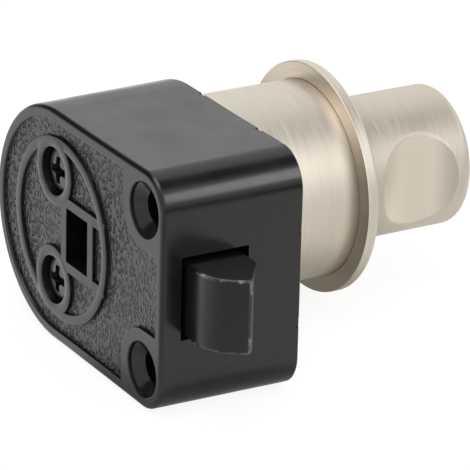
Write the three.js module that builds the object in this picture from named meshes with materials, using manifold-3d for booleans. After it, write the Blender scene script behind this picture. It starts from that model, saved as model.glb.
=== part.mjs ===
// Pushbutton cabinet latch: a D-shaped case with a sprung bolt, and a sleeve with a push knob.
// Millimetres. Pieces are drawn about the knob's axis, with y = 0 in the plane where the case meets the
// door. +Y points into the cabinet, -Y out through the door to the knob, and the bolt leaves towards -X.
// The group then brings the origin to the middle between the fixing holes, on the same plane.
import * as THREE from "three";
import { mergeVertices } from "three/addons/utils/BufferGeometryUtils.js";
import Module from "manifold-3d";

const wasm = await Module();
wasm.setup();

// Clearances and one overrun for every cut
const SEAT_GAP = 0.05;
const RUN_GAP = 0.3;
const OVERRUN = 1;

// Case shell
const CASE_DEPTH = 19;
const CASE_HALF_HEIGHT = 15.35;
const CASE_REACH = 27.5;
const CASE_CORNER = 4.6;
const CASE_DRAFT = 0.2;
const CASE_BOW = 0.05;
const CASE_EDGE = 0.8;
const CASE_WALL = 2;
const BACK_WALL = 2.6;
const FIELD_DEPTH = 0.5;
const RIM_WIDTH = 1.5;

// Ring, screw bosses and window on the back of the case
const RING_X = -1.8;
const RING_OUTER = 11.9;
const RING_INNER = 10.6;
const WINDOW_X = -6.1;
const WINDOW_WIDTH = 5.4;
const WINDOW_HEIGHT = 7;
const WINDOW_FRAME = 1.4;
const SCREW_Z = 7.2;
const WELL_RADIUS = 3.05;
const WELL_DEPTH = 2.25;
const WELL_BOSS = 4.5;
const COLUMN_RADIUS = 3.2;

// Countersunk fixing holes and their pads
const FIXING_FROM_END = 4.7;
const FIXING_FROM_SIDE = 5.1;
const FIXING_BORE = 2.1;
const FIXING_MOUTH = 3.5;
const FIXING_SINK = 1.9;
const FIXING_TUBE = 3.6;
const FIXING_PAD = 5.2;

// Cover plate, its snap lugs and the rails that carry the bolt
const COVER_THICK = 2;
const COVER_RIM = 1;
const LUG_WIDTH = 1.6;
const LUG_HEIGHT = 0.8;
const LUG_SPAN_SHARES = [-0.13, -0.63];
const LUG_SIDE_SHARE = 0.57;
const RAIL_THICK = 1.4;
const RAIL_INNER = 3;

// Latch bolt
const BOLT_WIDTH = 7.8;
const BOLT_HEIGHT = 9.3;
const BOLT_BACK_GAP = 0.4;
const BOLT_THROW = 8.4;
const BOLT_TRAVEL = 8;
const BOLT_FLAT = 3.4;
const BOLT_BEVEL = 3.75;
const BOLT_TIP = 0.4;
const BOLT_ROUND = 0.8;
const SLOT_DOOR_GAP = 0.9;
const SLOT_SIDE_GAP = 0.65;
const SHOULDER = 1.2;
const SHOULDER_LENGTH = 2.2;
const BOLT_TAIL_X = -17;
const FORK_LENGTH = 4.4;
const FORK_THICK = 1;
const CHANNEL_WIDTH = 5.4;
const CHANNEL_FLOOR = 1.8;
const CHANNEL_END = 1.4;

// Bolt spring, its guide pin and the post they seat on
const POST_THICK = 1.2;
const POST_GAP = 0.4;
const BOLT_SPRING_RADIUS = 2;
const BOLT_SPRING_WIRE = 0.55;
const BOLT_SPRING_TURNS = 9;
const GUIDE_PIN_RADIUS = 1;
const GUIDE_PIN_REACH = 7;

// Sleeve through the door
const SLEEVE_RADIUS = 12.75;
const SLEEVE_BORE = 10.3;
const DOOR_GAP = 17.4;
const BASE_FRONT = 2.4;
const BASE_BACK = 1.6;
const BASE_BOSS = 10.4;
const MOUTH_RADIUS = 11.6;
const MOUTH_DEPTH = 3.3;
const SLEEVE_EDGE = 0.25;

// Rosette on the door's face
const ROSETTE_RADIUS = 15;
const ROSETTE_THICK = 1.6;
const ROSETTE_EDGE = 0.4;
const ROSETTE_SEAT = 0.3;
const SKIRT_LENGTH = 3;

// Knob
const KNOB_RADIUS = 9.2;
const KNOB_REACH = 17.9;
const KNOB_EDGE = 1.2;
const KNOB_FACE = 3.7;
const KNOB_CORE = 5.4;
const KNOB_HOLLOW = 7.9;
const KNOB_TAIL = 1.65;
const KNOB_TRAVEL = 12;
const SCOOP_DEPTH = 2.25;
const SCOOP_SPAN = 11.4;
const SCOOP_Y_SHARE = 0.57;
const GLIDE_THICK = 0.9;
const GLIDE_GROOVE = 0.65;
const GLIDE_LIP = 0.4;

// Plunger with its heart-shaped cam track
const STEM_X = 4.2;
const STEM_Z = 3.6;
const STEM_CHAMFER = 0.7;
const STEM_NECK = 5.1;
const STEM_HOLLOW = 2.75;
const STEM_WEB = 7;
const PASSAGE_GAP = 0.3;
const TRACK_DEPTH = 0.9;
const TRACK_HALF = 0.75;
const TRACK_SWING = 2.2;
const TRACK_TOP = 0.8;
const HEART_NOTCH = 0.8;

// Cam follower wire and its leaf spring
const WIRE_RADIUS = 0.4;
const FOLLOWER_PIVOT_Y = 0.2;
const FOLLOWER_LENGTH = 8.7;
const FOLLOWER_ANCHOR = 2.7;
const FOLLOWER_STEP = 0.7;
const LEAF_THICK = 0.25;
const LEAF_WIDTH = 2.2;
const LEAF_LENGTH = 8;
const LEAF_ROOT = 1.2;
const LEAF_LIFT = 0.9;

// Knob spring, washer and rubber stop
const KNOB_SPRING_RADIUS = 7.2;
const KNOB_SPRING_WIRE = 0.8;
const KNOB_SPRING_TURNS = 6;
const WASHER_THICK = 0.55;
const WASHER_INNER = 6.4;
const WASHER_OUTER = 8.3;
const STOP_THICK = 1;
const STOP_INNER = 8.6;
const STOP_OUTER = 9.95;

// Lock tongue that moves in the window
const TONGUE_GAP = 0.3;
const TONGUE_PLATE = 2.1;
const TONGUE_LENGTH = 2.8;
const TONGUE_TAIL = 4.6;
const PLATE_GAP = 0.4;
const SPIGOT_RADIUS = 2.6;
const SPIGOT_LENGTH = 5;
const PIN_RADIUS = 0.75;
const PIN_INSET = 0.2;
const PIN_DEPTH = 2.2;

// Screws
const SCREW_RADIUS = 1.45;
const SCREW_HOLE = 1.6;
const SCREW_HEAD = 2.75;
const SCREW_HEAD_HEIGHT = 1.65;
const SCREW_TIP = 0.4;
const RECESS_SPAN = 3.6;
const RECESS_WIDTH = 0.9;
const RECESS_DEPTH = 1.1;
const KNOB_SCREW_HEAD = 2.6;
const KNOB_SCREW_HEIGHT = 2;
const KNOB_SCREW_BITE = 2.4;

// Facets: sides of a full circle, large and small
const SIDES = 48;
const SMALL_SIDES = 24;
const CORNER_STEPS = 6;
const EDGE_STEPS = 3;
const COIL_STEPS = 8;
const COIL_SIDES = 5;

// Places that several pieces share, worked out from the sizes above
const fixingX = -CASE_REACH + FIXING_FROM_END;
const fixingZ = CASE_HALF_HEIGHT - FIXING_FROM_SIDE;
const backInner = CASE_DEPTH - BACK_WALL;
const boltBack = backInner - BOLT_BACK_GAP;
const boltFront = boltBack - BOLT_WIDTH;
const boltNose = -CASE_REACH - BOLT_THROW;
const channelY = boltFront + CHANNEL_FLOOR;
const boltSpringY = channelY + CHANNEL_WIDTH / 2;
const channelStart = -CASE_REACH + CHANNEL_END;
const postX = WINDOW_X - WINDOW_WIDTH / 2 - POST_THICK - POST_GAP;
const rosetteBack = -DOOR_GAP - SEAT_GAP;
const rosetteFront = rosetteBack - ROSETTE_THICK;
const sleeveEnd = rosetteBack - ROSETTE_SEAT + SEAT_GAP;
const knobFront = rosetteFront - KNOB_REACH;
const knobBack = rosetteBack + KNOB_TAIL;
const coreFront = knobFront + KNOB_FACE;
const followerX = STEM_X + FOLLOWER_STEP;
const leafX = followerX + LEAF_LIFT;
const trackStart = FOLLOWER_PIVOT_Y - FOLLOWER_LENGTH;
const trackEnd = trackStart - KNOB_TRAVEL - TRACK_TOP;
const stemShoulder = trackEnd - TRACK_TOP;
const stepY = stemShoulder - RUN_GAP;
const washerFront = -BASE_FRONT - SEAT_GAP - WASHER_THICK;
const plateFront = BASE_BACK + PLATE_GAP;
const plateBack = plateFront + TONGUE_PLATE;
const stemBack = plateFront - SEAT_GAP;
const pinY = stemBack - PIN_DEPTH;
const lugRoot = COVER_RIM + RUN_GAP + OVERRUN;
const wellFloor = CASE_DEPTH - WELL_DEPTH;

// A closed geometry as a solid: shared corners merged, slivers dropped, faces outwards
function toSolid(geometry) {
  const plain = geometry.clone();
  plain.deleteAttribute("normal");
  plain.deleteAttribute("uv");
  const merged = mergeVertices(plain, 1e-4);
  const position = merged.getAttribute("position");
  const triangles = [];
  let volume = 0;
  const corner = [new THREE.Vector3(), new THREE.Vector3(), new THREE.Vector3()];
  for (let i = 0; i < merged.index.count; i += 3) {
    const ids = [0, 1, 2].map((k) => merged.index.getX(i + k));
    if (new Set(ids).size < 3) continue;
    ids.forEach((id, k) => corner[k].fromBufferAttribute(position, id));
    volume += corner[0].dot(corner[1].clone().cross(corner[2]));
    triangles.push(ids);
  }
  const turned = volume < 0 ? triangles.map(([a, b, c]) => [a, c, b]) : triangles;
  return new wasm.Manifold(new wasm.Mesh({
    numProp: 3,
    vertProperties: new Float32Array(position.array),
    triVerts: new Uint32Array(turned.flat()),
  }));
}

function toGeometry(solid) {
  const mesh = solid.getMesh();
  const geometry = new THREE.BufferGeometry();
  geometry.setAttribute("position", new THREE.BufferAttribute(mesh.vertProperties, mesh.numProp));
  geometry.setIndex(new THREE.BufferAttribute(mesh.triVerts, 1));
  geometry.computeVertexNormals();
  return geometry;
}

function join(solids) {
  return solids.reduce((whole, solid) => whole.add(solid));
}

function cut(solid, tools) {
  return tools.reduce((whole, tool) => whole.subtract(tool), solid);
}

// A box from its low corner to its high corner
function box(x0, x1, y0, y1, z0, z1) {
  const geometry = new THREE.BoxGeometry(x1 - x0, y1 - y0, z1 - z0);
  geometry.translate((x0 + x1) / 2, (y0 + y1) / 2, (z0 + z1) / 2);
  return toSolid(geometry);
}

// A cylinder along Y from y0 to y1, which may narrow to another radius
function rod(radius, y0, y1, x = 0, z = 0, sides = SMALL_SIDES, endRadius = radius) {
  const geometry = new THREE.CylinderGeometry(endRadius, radius, y1 - y0, sides);
  geometry.translate(x, (y0 + y1) / 2, z);
  return toSolid(geometry);
}

// A solid of revolution about the Y axis from [radius, y] points that close on themselves
function turned(points, sides = SIDES) {
  const closed = [...points, points[0]].map(([radius, y]) => new THREE.Vector2(radius, y));
  return toSolid(new THREE.LatheGeometry(closed, sides));
}

// A flat outline in X and Z, extruded along Y from y0 to y1
function prism(shape, y0, y1) {
  const settings = { depth: y1 - y0, bevelEnabled: false, curveSegments: CORNER_STEPS };
  const geometry = new THREE.ExtrudeGeometry(shape, settings);
  geometry.rotateX(Math.PI / 2);
  geometry.translate(0, y1, 0);
  return toSolid(geometry);
}

// An arc's points, with both ends
function arc(cx, cz, radius, from, to, steps) {
  return Array.from({ length: steps + 1 }, (_, i) => {
    const angle = from + ((to - from) * i) / steps;
    return new THREE.Vector2(cx + radius * Math.cos(angle), cz + radius * Math.sin(angle));
  });
}

// The case's D outline, drawn in by an inset: round about the knob's axis, square to the bolt side.
// Its two long sides bow in a little halfway, as moulded walls do.
function caseOutline(inset) {
  const big = CASE_HALF_HEIGHT - inset;
  const small = Math.max(CASE_CORNER - inset, CASE_EDGE);
  const cornerX = -CASE_REACH + inset + small;
  const cornerZ = big - small;
  const bowZ = big - CASE_BOW;
  return [
    ...arc(0, 0, big, -Math.PI / 2, Math.PI / 2, SIDES / 2),
    new THREE.Vector2(cornerX / 2, bowZ),
    ...arc(cornerX, cornerZ, small, Math.PI / 2, Math.PI, CORNER_STEPS),
    ...arc(cornerX, -cornerZ, small, Math.PI, 1.5 * Math.PI, CORNER_STEPS),
    new THREE.Vector2(cornerX / 2, -bowZ),
  ];
}

// A solid through case outlines at several depths, each [y, inset]
function caseLoft(levels) {
  const rings = levels.map(([y, inset]) => caseOutline(inset).map((p) => [p.x, y, p.y]));
  const count = rings[0].length;
  const triangles = [];
  for (let level = 0; level + 1 < rings.length; level += 1) {
    for (let i = 0; i < count; i += 1) {
      const a = level * count + i;
      const b = level * count + ((i + 1) % count);
      triangles.push([a, b, a + count], [b, b + count, a + count]);
    }
  }
  const caps = THREE.ShapeUtils.triangulateShape(caseOutline(levels[0][1]), []);
  const last = (rings.length - 1) * count;
  caps.forEach(([a, b, c]) => triangles.push([a, c, b], [a + last, b + last, c + last]));
  const geometry = new THREE.BufferGeometry();
  geometry.setAttribute("position", new THREE.Float32BufferAttribute(rings.flat(2), 3));
  geometry.setIndex(triangles.flat());
  return toSolid(geometry);
}

// The case's outside: drafted sides and a rounded edge at the back face
function caseOutside() {
  const levels = [[0, 0], [CASE_DEPTH - CASE_EDGE, CASE_DRAFT]];
  for (let step = 1; step <= EDGE_STEPS; step += 1) {
    const angle = (step / EDGE_STEPS) * (Math.PI / 2);
    const y = CASE_DEPTH - CASE_EDGE * (1 - Math.sin(angle));
    levels.push([y, CASE_DRAFT + CASE_EDGE * (1 - Math.cos(angle))]);
  }
  return caseLoft(levels);
}

function both(make) {
  return [1, -1].map(make);
}

// The raised parts of the back face: ring, screw bosses, window frame and fixing pads
function raisedLand() {
  const low = CASE_DEPTH - FIELD_DEPTH - OVERRUN;
  const high = CASE_DEPTH;
  const ring = rod(RING_OUTER, low, high, RING_X, 0, SIDES)
    .subtract(rod(RING_INNER, low - OVERRUN, high + OVERRUN, RING_X, 0, SIDES));
  const frameX = WINDOW_WIDTH / 2 + WINDOW_FRAME;
  const frameZ = WINDOW_HEIGHT / 2 + WINDOW_FRAME;
  const frame = box(WINDOW_X - frameX, WINDOW_X + frameX, low, high, -frameZ, frameZ);
  const barEnd = RING_X - RING_INNER - (RING_OUTER - RING_INNER) / 2;
  const bars = both((side) => {
    const inner = (side * WINDOW_HEIGHT) / 2;
    const outer = side * frameZ;
    return box(barEnd, WINDOW_X, low, high, Math.min(inner, outer), Math.max(inner, outer));
  });
  const bosses = both((side) => rod(WELL_BOSS, low, high, 0, side * SCREW_Z, SMALL_SIDES));
  const pads = both((side) => {
    const edge = side * CASE_HALF_HEIGHT;
    const start = side * (fixingZ - FIXING_PAD);
    const square = box(-CASE_REACH, fixingX, low, high, Math.min(edge, start), Math.max(edge, start));
    const across = box(-CASE_REACH, fixingX + FIXING_PAD, low, high,
      Math.min(edge, side * fixingZ), Math.max(edge, side * fixingZ));
    return join([square, across, rod(FIXING_PAD, low, high, fixingX, side * fixingZ, SMALL_SIDES)]);
  });
  return join([ring, frame, ...bars, ...bosses, ...pads]);
}

// Notches in the rim where the cover's lugs snap in, or the lugs themselves
function rimLugs(width, height, reach) {
  const lugs = LUG_SPAN_SHARES.flatMap((share) => both((side) => {
    const x = share * CASE_REACH;
    const edge = side * (CASE_HALF_HEIGHT - reach);
    const root = side * (CASE_HALF_HEIGHT - lugRoot);
    return box(x - width / 2, x + width / 2, -height.out, height.in,
      Math.min(edge, root), Math.max(edge, root));
  }));
  const sides = both((side) => {
    const z = side * (CASE_HALF_HEIGHT - CASE_CORNER) * LUG_SIDE_SHARE;
    return box(-CASE_REACH + reach, -CASE_REACH + lugRoot, -height.out, height.in,
      z - width / 2, z + width / 2);
  });
  return [...lugs, ...sides];
}

function caseBody() {
  const cavity = caseLoft([[-OVERRUN, CASE_WALL], [backInner, CASE_WALL + CASE_DRAFT]]);
  const rebate = caseLoft([[-OVERRUN, COVER_RIM], [COVER_THICK + SEAT_GAP, COVER_RIM]]);
  const shell = cut(caseOutside(), [cavity, rebate]);
  const field = caseLoft([
    [CASE_DEPTH - FIELD_DEPTH, CASE_DRAFT + RIM_WIDTH],
    [CASE_DEPTH + OVERRUN, CASE_DRAFT + RIM_WIDTH],
  ]).subtract(raisedLand());
  const columns = both((side) =>
    rod(COLUMN_RADIUS, BASE_BACK + SEAT_GAP, backInner + OVERRUN, 0, side * SCREW_Z));
  const runStart = -CASE_REACH + CASE_WALL;
  const runEnd = runStart + RUN_GAP + SHOULDER_LENGTH + BOLT_TRAVEL + RUN_GAP;
  const runZ = BOLT_HEIGHT / 2 + SHOULDER + RUN_GAP;
  const boltRun = box(runStart, runEnd, boltFront - RUN_GAP, backInner, -runZ, runZ);
  const tubes = both((side) =>
    rod(FIXING_TUBE, COVER_THICK + SEAT_GAP, backInner + OVERRUN, fixingX, side * fixingZ)
      .subtract(boltRun));
  const post = box(postX, postX + POST_THICK, channelY + RUN_GAP, backInner + OVERRUN,
    -CHANNEL_WIDTH / 2 + POST_GAP, CHANNEL_WIDTH / 2 - POST_GAP);
  const ribs = both((side) => {
    const near = side * (BOLT_HEIGHT / 2 + RUN_GAP);
    const far = near + side * SHOULDER;
    return box(runEnd, runEnd + FORK_LENGTH, boltFront, backInner + OVERRUN,
      Math.min(near, far), Math.max(near, far));
  });
  const wells = both((side) =>
    rod(WELL_RADIUS, wellFloor, CASE_DEPTH + OVERRUN, 0, side * SCREW_Z));
  const screwHoles = both((side) => rod(SCREW_HOLE, 0, CASE_DEPTH, 0, side * SCREW_Z));
  const fixingBores = both((side) =>
    rod(FIXING_BORE, 0, CASE_DEPTH + OVERRUN, fixingX, side * fixingZ));
  const slope = (FIXING_MOUTH - FIXING_BORE) / FIXING_SINK;
  const sinks = both((side) => rod(FIXING_BORE, CASE_DEPTH - FIXING_SINK, CASE_DEPTH + OVERRUN,
    fixingX, side * fixingZ, SMALL_SIDES, FIXING_MOUTH + slope * OVERRUN));
  const window = box(WINDOW_X - WINDOW_WIDTH / 2, WINDOW_X + WINDOW_WIDTH / 2,
    backInner - OVERRUN, CASE_DEPTH + OVERRUN, -WINDOW_HEIGHT / 2, WINDOW_HEIGHT / 2);
  const slotZ = BOLT_HEIGHT / 2 + SLOT_SIDE_GAP;
  const slot = box(-CASE_REACH - OVERRUN, -CASE_REACH + CASE_WALL + OVERRUN,
    boltFront - SLOT_DOOR_GAP, boltBack + RUN_GAP, -slotZ, slotZ);
  const notches = rimLugs(LUG_WIDTH + RUN_GAP, { out: OVERRUN, in: LUG_HEIGHT + RUN_GAP }, -OVERRUN);
  return cut(join([shell, ...columns, ...tubes, post, ...ribs]), [
    field, ...wells, ...screwHoles, ...fixingBores, ...sinks, window, slot, ...notches]);
}

function caseCover() {
  const inset = COVER_RIM + RUN_GAP / 2;
  const plate = caseLoft([[0, inset], [COVER_THICK, inset]]);
  const rails = both((side) => {
    const near = side * RAIL_INNER;
    const far = near + side * RAIL_THICK;
    return box(-CASE_REACH + CASE_WALL + RUN_GAP, BOLT_TAIL_X + FORK_LENGTH / 2,
      COVER_THICK - OVERRUN, boltFront - RUN_GAP, Math.min(near, far), Math.max(near, far));
  });
  const holes = both((side) => rod(FIXING_BORE, -OVERRUN, COVER_THICK + OVERRUN,
    fixingX, side * fixingZ));
  const lugs = rimLugs(LUG_WIDTH, { out: 0, in: LUG_HEIGHT }, RUN_GAP);
  const opening = rod(BASE_BOSS + RUN_GAP, -OVERRUN, COVER_THICK + OVERRUN, 0, 0, SIDES);
  return cut(join([plate, ...rails, ...lugs]), [opening, ...holes]);
}

// The bolt's outline in X and Y: flat and then bevelled on the door side, a 45 degree ramp behind
function boltOutline() {
  const noseY = boltFront + BOLT_BEVEL;
  const bevelX = -CASE_REACH - BOLT_FLAT;
  const bevelSlope = BOLT_BEVEL / (bevelX - boltNose);
  const rampX = boltNose + boltBack - noseY;
  const shape = new THREE.Shape();
  shape.moveTo(BOLT_TAIL_X, boltFront);
  shape.lineTo(bevelX, boltFront);
  shape.lineTo(boltNose + BOLT_TIP, noseY - BOLT_TIP * bevelSlope);
  shape.quadraticCurveTo(boltNose, noseY, boltNose + BOLT_TIP, noseY + BOLT_TIP);
  shape.lineTo(rampX - BOLT_ROUND, boltBack - BOLT_ROUND);
  shape.quadraticCurveTo(rampX, boltBack, rampX + BOLT_ROUND, boltBack);
  shape.lineTo(BOLT_TAIL_X, boltBack);
  shape.closePath();
  return shape;
}

function latchBolt() {
  const settings = { depth: BOLT_HEIGHT, bevelEnabled: false, curveSegments: CORNER_STEPS };
  const geometry = new THREE.ExtrudeGeometry(boltOutline(), settings);
  geometry.translate(0, 0, -BOLT_HEIGHT / 2);
  const wallInside = -CASE_REACH + CASE_WALL + RUN_GAP;
  const halfShoulder = BOLT_HEIGHT / 2 + SHOULDER;
  const shoulders = box(wallInside, wallInside + SHOULDER_LENGTH, boltFront, boltBack,
    -halfShoulder, halfShoulder);
  const arms = both((side) => {
    const outer = side * (BOLT_HEIGHT / 2);
    const inner = outer - side * FORK_THICK;
    return box(BOLT_TAIL_X - OVERRUN, BOLT_TAIL_X + FORK_LENGTH, boltFront, boltBack,
      Math.min(inner, outer), Math.max(inner, outer));
  });
  const channel = box(channelStart, BOLT_TAIL_X + OVERRUN, channelY, boltBack + OVERRUN,
    -CHANNEL_WIDTH / 2, CHANNEL_WIDTH / 2);
  return join([toSolid(geometry), shoulders, ...arms]).subtract(channel);
}

// A compression spring as one tube along a helix about an axis, with its least gap to itself
function coilSpring(name, axis, center, start, end, radius, wire, turns) {
  const along = new THREE.Vector3(...axis);
  const first = new THREE.Vector3(0, 0, 1);
  const second = along.clone().cross(first);
  const length = Math.abs(end - start) - wire;
  const from = Math.min(start, end) + wire / 2;
  const steps = turns * COIL_STEPS;
  const points = Array.from({ length: steps + 1 }, (_, i) => {
    const angle = (2 * Math.PI * i) / COIL_STEPS;
    return center.clone()
      .addScaledVector(along, from + (length * i) / steps)
      .addScaledVector(first, radius * Math.cos(angle))
      .addScaledVector(second, radius * Math.sin(angle));
  });
  const positions = [];
  const indices = [];
  points.forEach((point, i) => {
    const ahead = points[Math.min(i + 1, steps)].clone().sub(points[Math.max(i - 1, 0)]).normalize();
    const out = point.clone().sub(center);
    out.addScaledVector(along, -out.dot(along)).normalize();
    const side = ahead.clone().cross(out).normalize();
    for (let k = 0; k < COIL_SIDES; k += 1) {
      const angle = (2 * Math.PI * k) / COIL_SIDES;
      const corner = point.clone()
        .addScaledVector(out, (wire / 2) * Math.cos(angle))
        .addScaledVector(side, (wire / 2) * Math.sin(angle));
      positions.push(corner.x, corner.y, corner.z);
    }
  });
  for (let i = 0; i < steps; i += 1) {
    for (let k = 0; k < COIL_SIDES; k += 1) {
      const a = i * COIL_SIDES + k;
      const b = i * COIL_SIDES + ((k + 1) % COIL_SIDES);
      indices.push(a, b, a + COIL_SIDES, b, b + COIL_SIDES, a + COIL_SIDES);
    }
  }
  for (let k = 1; k + 1 < COIL_SIDES; k += 1) {
    const last = steps * COIL_SIDES;
    indices.push(0, k + 1, k, last, last + k, last + k + 1);
  }
  const geometry = new THREE.BufferGeometry();
  geometry.setAttribute("position", new THREE.Float32BufferAttribute(positions, 3));
  geometry.setIndex(indices);
  let gap = Infinity;
  points.forEach((a, i) => points.forEach((b, j) => {
    if (j - i >= COIL_STEPS / 2) gap = Math.min(gap, a.distanceTo(b) - wire);
  }));
  console.log(`${name}: least gap between turns ${gap.toFixed(2)} mm`);
  return toSolid(geometry);
}

function sleeve() {
  const tube = turned([
    [SLEEVE_BORE, -BASE_FRONT - OVERRUN],
    [SLEEVE_BORE, -DOOR_GAP + MOUTH_DEPTH],
    [MOUTH_RADIUS, -DOOR_GAP + MOUTH_DEPTH],
    [MOUTH_RADIUS, sleeveEnd],
    [SLEEVE_RADIUS - SLEEVE_EDGE, sleeveEnd],
    [SLEEVE_RADIUS, sleeveEnd + SLEEVE_EDGE],
    [SLEEVE_RADIUS, -SEAT_GAP],
    [SLEEVE_BORE, -SEAT_GAP],
  ]);
  const base = rod(SLEEVE_BORE + SLEEVE_EDGE, -BASE_FRONT, -SEAT_GAP, 0, 0, SIDES);
  const boss = rod(BASE_BOSS, -BASE_FRONT, BASE_BACK, 0, 0, SIDES);
  const low = -BASE_FRONT - OVERRUN;
  const high = BASE_BACK + OVERRUN;
  const halfX = STEM_X + PASSAGE_GAP;
  const halfZ = STEM_Z + PASSAGE_GAP;
  const passage = box(-halfX, halfX, low, high, -halfZ, halfZ);
  const swing = TRACK_SWING * (BASE_FRONT + FOLLOWER_PIVOT_Y) / FOLLOWER_LENGTH;
  const notchHalf = swing + WIRE_RADIUS + RUN_GAP;
  const notchX = followerX + WIRE_RADIUS + WIRE_RADIUS / 2;
  const notch = box(0, notchX, low, FOLLOWER_PIVOT_Y + WIRE_RADIUS + RUN_GAP, -notchHalf, notchHalf);
  const anchor = new THREE.CylinderGeometry(WIRE_RADIUS + SEAT_GAP, WIRE_RADIUS + SEAT_GAP,
    FOLLOWER_ANCHOR + RUN_GAP, SMALL_SIDES / 2);
  anchor.rotateZ(Math.PI / 2);
  anchor.translate(followerX + (FOLLOWER_ANCHOR + RUN_GAP) / 2, FOLLOWER_PIVOT_Y, 0);
  const leafSlot = box(leafX - SEAT_GAP, leafX + LEAF_THICK + SEAT_GAP, low,
    -BASE_FRONT + LEAF_ROOT + SEAT_GAP, -LEAF_WIDTH / 2 - SEAT_GAP, LEAF_WIDTH / 2 + SEAT_GAP);
  const threads = both((side) => rod(SCREW_HOLE, low, high, 0, side * SCREW_Z, SMALL_SIDES / 2));
  return cut(join([tube, base, boss]), [passage, notch, toSolid(anchor), leafSlot, ...threads]);
}

// The flange on the door's face: a skirt inside the sleeve's mouth, a shallow seat for its end
function rosette() {
  const inner = KNOB_RADIUS + RUN_GAP;
  const skirtOuter = MOUTH_RADIUS - RUN_GAP / 2;
  const seatOuter = SLEEVE_RADIUS + RUN_GAP / 2;
  return turned([
    [inner, rosetteFront],
    [ROSETTE_RADIUS - ROSETTE_EDGE, rosetteFront],
    [ROSETTE_RADIUS, rosetteFront + ROSETTE_EDGE],
    [ROSETTE_RADIUS, rosetteBack - ROSETTE_EDGE / 2],
    [ROSETTE_RADIUS - ROSETTE_EDGE / 2, rosetteBack],
    [seatOuter, rosetteBack],
    [seatOuter, rosetteBack - ROSETTE_SEAT],
    [skirtOuter, rosetteBack - ROSETTE_SEAT],
    [skirtOuter, rosetteBack + SKIRT_LENGTH],
    [SLEEVE_BORE, rosetteBack + SKIRT_LENGTH],
    [SLEEVE_BORE, rosetteBack],
    [inner, rosetteBack],
  ]);
}

// The knob's shell: rounded face, finger scoops on both sides and a stepped hollow
function knobCap() {
  const edge = arc(KNOB_RADIUS - KNOB_EDGE, knobFront + KNOB_EDGE, KNOB_EDGE, -Math.PI / 2, 0, EDGE_STEPS + 1)
    .map((p) => [p.x, p.y]);
  const grooveBack = knobBack - GLIDE_LIP;
  const grooveFront = grooveBack - GLIDE_THICK - 2 * SEAT_GAP;
  const grooveRadius = KNOB_RADIUS - GLIDE_GROOVE;
  const bite = coreFront - KNOB_SCREW_BITE - RUN_GAP;
  const shell = turned([
    [0, knobFront],
    ...edge,
    [KNOB_RADIUS, grooveFront],
    [grooveRadius, grooveFront],
    [grooveRadius, grooveBack],
    [KNOB_RADIUS, grooveBack],
    [KNOB_RADIUS, knobBack],
    [KNOB_HOLLOW, knobBack],
    [KNOB_HOLLOW, stepY],
    [KNOB_CORE, stepY],
    [KNOB_CORE, coreFront],
    [SCREW_HOLE, coreFront],
    [SCREW_HOLE, bite],
    [0, bite],
  ]);
  const half = SCOOP_SPAN / 2;
  const scoopRadius = (half * half + SCOOP_DEPTH * SCOOP_DEPTH) / (2 * SCOOP_DEPTH);
  const scoopY = rosetteFront - KNOB_REACH * SCOOP_Y_SHARE;
  const scoops = both((side) => {
    const tool = new THREE.CylinderGeometry(scoopRadius, scoopRadius, 2 * KNOB_RADIUS, 2 * SIDES);
    tool.rotateX(Math.PI / 2);
    tool.translate(side * (KNOB_RADIUS - SCOOP_DEPTH + scoopRadius), scoopY, 0);
    return toSolid(tool);
  });
  return cut(shell, scoops);
}

function glideRing() {
  const back = knobBack - GLIDE_LIP - SEAT_GAP;
  const front = back - GLIDE_THICK;
  const inner = KNOB_RADIUS - GLIDE_GROOVE + SEAT_GAP;
  const outer = SLEEVE_BORE - RUN_GAP;
  return turned([[inner, front], [outer, front], [outer, back], [inner, back]]);
}

// The heart-shaped track: a kite-like pocket with a heart island that the wire runs round
function camTrack() {
  const half = TRACK_HALF;
  const wide = TRACK_SWING + half;
  const slope = TRACK_SWING / KNOB_TRAVEL;
  const narrow = trackStart - half;
  const pocket = new THREE.Shape();
  pocket.moveTo(-half, trackStart + half);
  pocket.lineTo(half, trackStart + half);
  pocket.lineTo(half + slope * half, narrow);
  pocket.lineTo(wide, trackEnd + TRACK_TOP);
  pocket.lineTo(wide, trackEnd);
  pocket.lineTo(-wide, trackEnd);
  pocket.lineTo(-wide, trackEnd + TRACK_TOP);
  pocket.lineTo(-half - slope * half, narrow);
  pocket.closePath();
  const tipY = trackStart - half / slope - half;
  const lobeY = trackEnd + TRACK_TOP + 2 * half;
  const lobeZ = slope * (trackStart - lobeY) - half;
  const heart = new THREE.Path();
  heart.moveTo(0, tipY);
  heart.lineTo(-lobeZ, lobeY);
  heart.lineTo(0, lobeY + HEART_NOTCH);
  heart.lineTo(lobeZ, lobeY);
  heart.closePath();
  pocket.holes.push(heart);
  const settings = { depth: TRACK_DEPTH + OVERRUN, bevelEnabled: false };
  const geometry = new THREE.ExtrudeGeometry(pocket, settings);
  geometry.rotateY(Math.PI / 2);
  geometry.translate(STEM_X - TRACK_DEPTH, 0, 0);
  return toSolid(geometry);
}

function stemSection() {
  const c = STEM_CHAMFER;
  const corners = [
    [STEM_X - c, STEM_Z], [-STEM_X + c, STEM_Z], [-STEM_X, STEM_Z - c], [-STEM_X, -STEM_Z + c],
    [-STEM_X + c, -STEM_Z], [STEM_X - c, -STEM_Z], [STEM_X, -STEM_Z + c], [STEM_X, STEM_Z - c],
  ];
  return new THREE.Shape(corners.map(([x, z]) => new THREE.Vector2(x, z)));
}

function crossHole(radius, half) {
  const geometry = new THREE.CylinderGeometry(radius, radius, 2 * half, SMALL_SIDES / 2);
  geometry.rotateX(Math.PI / 2);
  geometry.translate(0, pinY, 0);
  return toSolid(geometry);
}

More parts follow.
